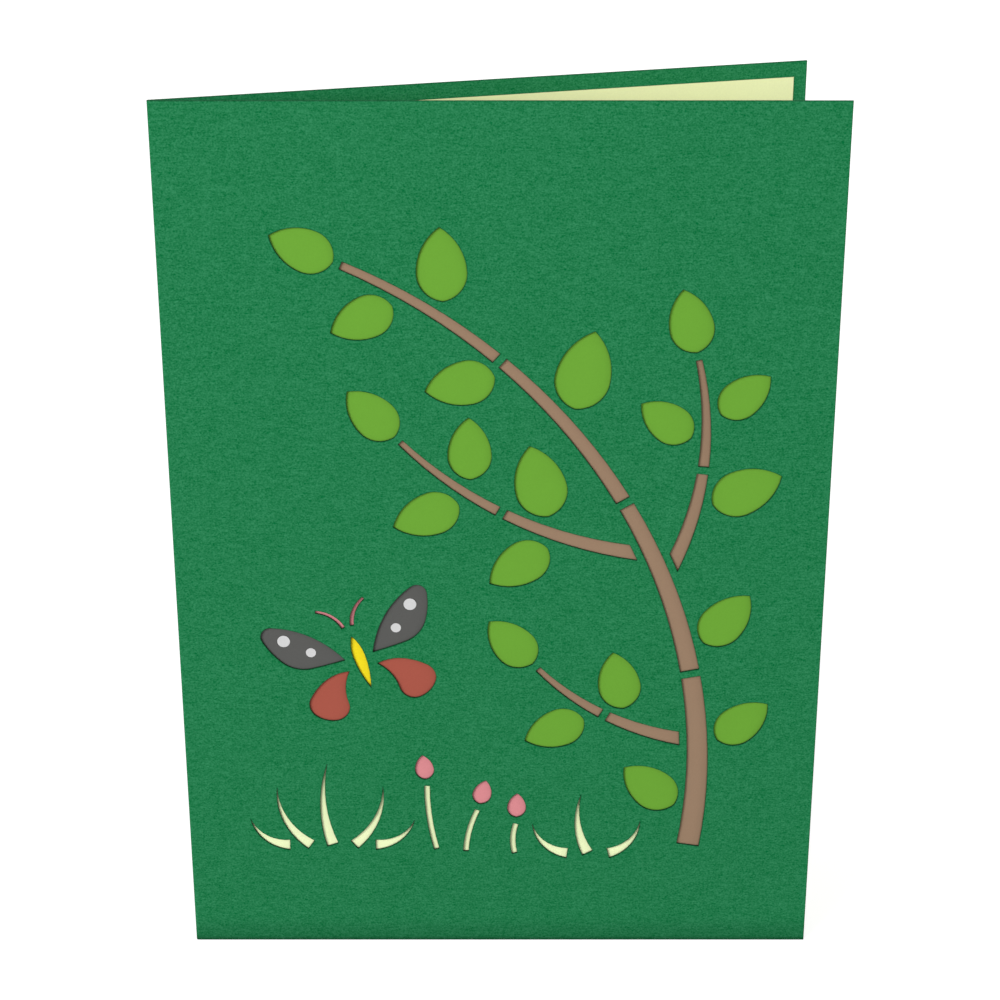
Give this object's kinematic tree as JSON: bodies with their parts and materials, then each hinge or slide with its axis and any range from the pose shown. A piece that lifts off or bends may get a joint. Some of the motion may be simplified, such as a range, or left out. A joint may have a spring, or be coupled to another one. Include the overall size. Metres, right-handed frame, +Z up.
{
  "type": "pop up card",
  "caption": "Folded greeting card with die-cut windows over inlaid papers on its front and a pop-up tree of slotted slices inside, standing slightly open.",
  "frame": {"origin": "middle of the footprint, on the surface that the card stands on", "axes": "+Z up the card, -Y towards the viewer of the front, +X from the fold to the open side"},
  "size_m": [0.127, 0.0336, 0.1778],
  "materials": {
    "cover_green": "uncoated dyed card with a fine fibre mottle",
    "lining_cream": "smooth uncoated paper",
    "leaf_green": "smooth uncoated paper",
    "stem_brown": "smooth uncoated paper",
    "wing_charcoal": "smooth uncoated paper",
    "wing_red": "smooth uncoated paper",
    "body_yellow": "smooth uncoated paper",
    "flower_pink": "smooth uncoated paper",
    "spot_grey": "smooth uncoated paper",
    "grass_cream": "smooth uncoated paper",
    "pop_up_brown": "uncoated card with a fine fibre mottle",
    "pop_up_leaf": "uncoated card with a fine fibre mottle",
    "pop_up_grass": "uncoated card with a fine fibre mottle"
  },
  "bodies": {
    "root": {"cover": "cover_green", "front_lining": "lining_cream", "back_lining": "lining_cream", "leaf_paper": "leaf_green", "stem_paper": "stem_brown", "fore_wing_paper": "wing_charcoal", "hind_wing_paper": "wing_red", "body_paper": "body_yellow", "antenna_paper": "flower_pink", "bud_paper": "flower_pink", "wing_spot_paper": "spot_grey", "grass_paper": "grass_cream", "inner_crown_slice_back": "pop_up_leaf", "inner_crown_slice_front": "pop_up_leaf", "outer_crown_slice_back": "pop_up_leaf", "outer_crown_slice_front": "pop_up_leaf", "trunk_slice_back": "pop_up_brown", "trunk_slice_front": "pop_up_brown", "meadow_strip": "pop_up_grass"}
  },
  "joints": []
}
